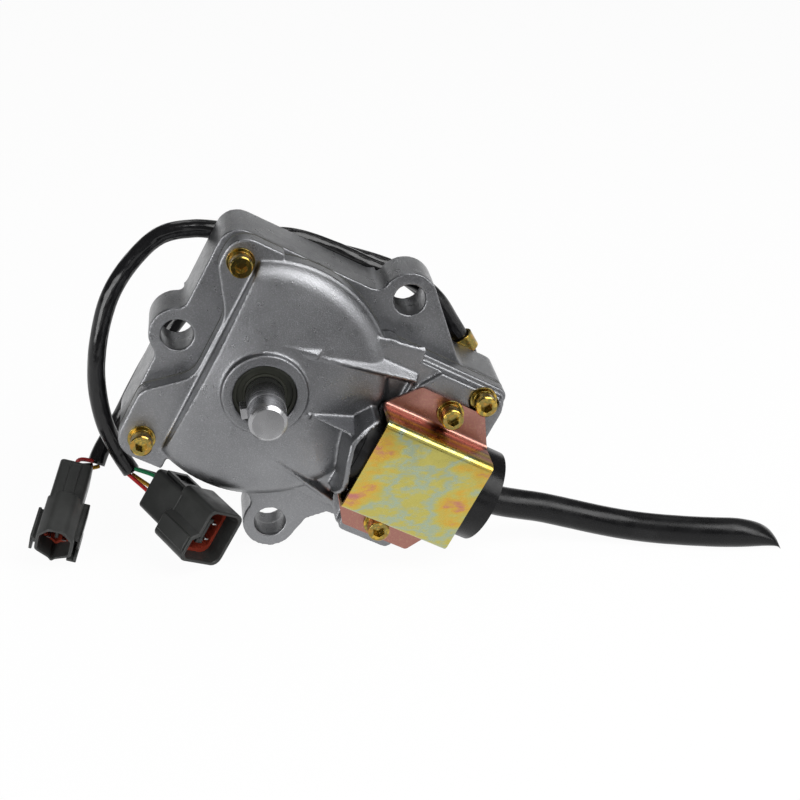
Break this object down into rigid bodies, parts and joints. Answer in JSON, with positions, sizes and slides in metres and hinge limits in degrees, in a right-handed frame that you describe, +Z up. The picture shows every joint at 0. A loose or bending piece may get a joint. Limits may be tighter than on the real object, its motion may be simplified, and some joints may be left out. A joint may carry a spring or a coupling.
{
  "type": "throttle motor",
  "caption": "Geared electric motor in a cast case with mounting ears, a turning lever shaft under a domed cover, plugged leads and a vent hose.",
  "frame": {"origin": "on the output shaft's axis, at the middle of the lever seat", "axes": "-Y out along the output shaft towards the lever, +Z up, +X towards the motor's free end"},
  "size_m": [0.3499, 0.1067, 0.1572],
  "materials": {
    "cast_aluminium": "as cast, fine grain, dull",
    "yellow_zinc": "yellow chromate over zinc, iridescent satin",
    "steel": "ground, satin",
    "dark_steel": "phosphated, dark",
    "gear_bronze": "machined, satin",
    "copper": "enamelled winding",
    "gasket_paper": "matte sheet gasket",
    "seal_rubber": "satin",
    "black_sleeve": "shrunk sleeve, glossy",
    "black_plastic": "moulded, satin",
    "grey_plastic": "moulded, satin",
    "white_nylon": "moulded, satin",
    "red_seal": "satin",
    "tinned_pins": "tin plated",
    "lead_vinyl": "vinyl sleeve, glossy",
    "wire_vinyl": "coloured wire insulation",
    "hose_rubber": "vinyl hose, satin"
  },
  "bodies": {
    "housing": {"rear_housing": "cast_aluminium", "gasket": "gasket_paper", "front_cover": "cast_aluminium", "cover_screws": "yellow_zinc", "cover_spring_washers": "yellow_zinc", "cover_flat_washers": "yellow_zinc", "motor_bracket": "yellow_zinc", "bracket_screws": "yellow_zinc", "bracket_spring_washers": "yellow_zinc", "bracket_flat_washers": "yellow_zinc", "motor_can": "dark_steel", "motor_sleeve": "black_sleeve", "motor_front_bell": "steel", "motor_end_cap": "black_plastic", "stator": "dark_steel", "coils": "copper", "motor_front_bearing": "steel", "motor_rear_bearing": "steel", "gear_pin": "steel", "front_bearing_outer": "steel", "front_bearing_balls": "steel", "rear_bush": "gear_bronze", "dust_seal": "seal_rubber", "sensor_body": "black_plastic", "sensor_screws": "steel", "cable_boots": "seal_rubber", "motor_cable": "lead_vinyl", "sensor_cable": "lead_vinyl", "motor_wires": "wire_vinyl", "sensor_wires": "wire_vinyl", "motor_connector": "grey_plastic", "motor_connector_seal": "red_seal", "motor_connector_pins": "tinned_pins", "sensor_connector": "grey_plastic", "sensor_connector_seal": "red_seal", "sensor_connector_pins": "tinned_pins", "vent_hose": "hose_rubber", "cable_clip": "yellow_zinc", "clip_screw": "yellow_zinc"},
    "motor_rotor": {"rotor": "dark_steel", "worm_shaft": "steel"},
    "compound": {"compound_gear": "gear_bronze"},
    "output": {"output_shaft": "steel", "shaft_key": "steel", "output_gear": "gear_bronze", "circlip": "dark_steel", "front_bearing_inner": "steel"},
    "sensor_rotor": {"sensor_gear": "white_nylon"}
  },
  "joints": [
    {"name": "motor_spin", "type": "hinge", "parent": "housing", "child": "motor_rotor", "pos_m": [0.06671, 0.0322, -0.04482], "axis": [0.8796, 0, -0.4756], "range_deg": [-2640, 2640]},
    {"name": "compound_turn", "type": "hinge", "parent": "housing", "child": "compound", "pos_m": [0.0271, 0.0322, -0.00704], "axis": [0, -1, 0], "range_deg": [-120, 120]},
    {"name": "output_turn", "type": "hinge", "parent": "housing", "child": "output", "pos_m": [0, 0, 0], "axis": [0, -1, 0], "range_deg": [-40, 40]},
    {"name": "sensor_turn", "type": "hinge", "parent": "housing", "child": "sensor_rotor", "pos_m": [-0.01042, 0.041, -0.03131], "axis": [0, -1, 0], "range_deg": [-70, 70]}
  ],
  "couplings": [
    {"joint": "compound_turn", "follows": "motor_spin", "ratio": -0.045455},
    {"joint": "output_turn", "follows": "motor_spin", "ratio": 0.015152},
    {"joint": "sensor_turn", "follows": "motor_spin", "ratio": -0.026515}
  ]
}
